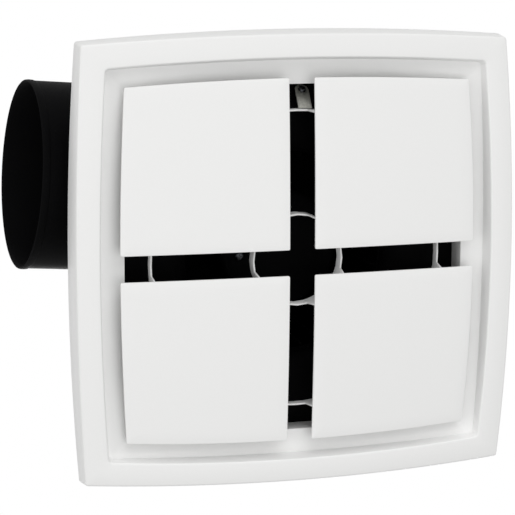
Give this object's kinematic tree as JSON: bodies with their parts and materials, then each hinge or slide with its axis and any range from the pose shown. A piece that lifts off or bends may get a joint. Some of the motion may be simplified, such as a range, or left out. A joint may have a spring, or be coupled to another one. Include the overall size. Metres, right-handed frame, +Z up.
{
  "type": "ceiling exhaust fan",
  "caption": "Side-ducted ceiling exhaust fan with a white domed fascia split into quadrant panels by a cross-shaped slot, and a black round duct outlet",
  "frame": {"origin": "Centre of the ceiling face that the tray's flange is screwed against.", "axes": "+Z points up into the ceiling void, so the fascia hangs below; +X points towards the duct outlet."},
  "size_m": [0.3761, 0.35, 0.2009],
  "materials": {
    "white_abs": "satin moulded ABS, white",
    "black_polypropylene": "moulded polypropylene, black, fine matt texture",
    "zinc_plated_steel": "bright zinc plating, slightly dulled",
    "spring_steel": "rolled spring steel strip, grey",
    "rotor_steel": "turned and drawn steel",
    "cast_aluminium": "die-cast aluminium",
    "lamination_steel": "stacked electrical steel, varnished",
    "copper_winding": "enamelled copper wire, dipped in varnish",
    "grey_nylon": "moulded nylon, grey",
    "capacitor_can": "moulded plastic can, off-white"
  },
  "bodies": {
    "housing": {"inlet_tray": "black_polypropylene", "retaining_clips": "spring_steel", "clip_screws": "zinc_plated_steel", "scroll_casing": "black_polypropylene", "casing_screws": "zinc_plated_steel", "casing_cover": "black_polypropylene", "cover_screws": "zinc_plated_steel", "duct_spigot": "black_polypropylene", "spigot_screws": "zinc_plated_steel", "bearing_lower": "rotor_steel", "bearing_upper": "rotor_steel", "stator_mount": "cast_aluminium", "stator_core": "lamination_steel", "stator_winding": "copper_winding", "motor_screws": "zinc_plated_steel", "terminal_box": "black_polypropylene", "terminal_cover": "black_polypropylene", "terminal_screws": "zinc_plated_steel", "terminal_block": "grey_nylon", "cable_gland": "grey_nylon", "capacitor": "capacitor_can", "capacitor_clamp": "zinc_plated_steel", "clamp_screw": "zinc_plated_steel"},
    "fascia": {"fascia_frame": "white_abs", "panel_upper_left": "white_abs", "panel_upper_right": "white_abs", "panel_lower_right": "white_abs", "panel_lower_left": "white_abs", "grille_ring_outer": "white_abs", "grille_ring_inner": "white_abs", "grille_screws": "zinc_plated_steel"},
    "rotor": {"impeller_hub": "black_polypropylene", "impeller_blades": "black_polypropylene", "impeller_ring": "black_polypropylene", "hub_screws": "zinc_plated_steel", "rotor_can": "rotor_steel", "motor_shaft": "rotor_steel", "shaft_circlip": "spring_steel"},
    "damper": {"damper_flap": "black_polypropylene", "damper_pin": "zinc_plated_steel"}
  },
  "joints": [
    {"name": "impeller_spin", "type": "hinge", "parent": "housing", "child": "rotor", "pos_m": [0, 0, 0.07], "axis": [0, 0, 1], "continuous": true},
    {"name": "flap_swing", "type": "hinge", "parent": "housing", "child": "damper", "pos_m": [0.16489, 0.05598, 0.09695], "axis": [0.0785, -0.9969, 0], "range_deg": [0, 75]},
    {"name": "fascia_pull", "type": "slide", "parent": "housing", "child": "fascia", "axis": [0, 0, -1], "range_m": [0, 0.06]}
  ]
}
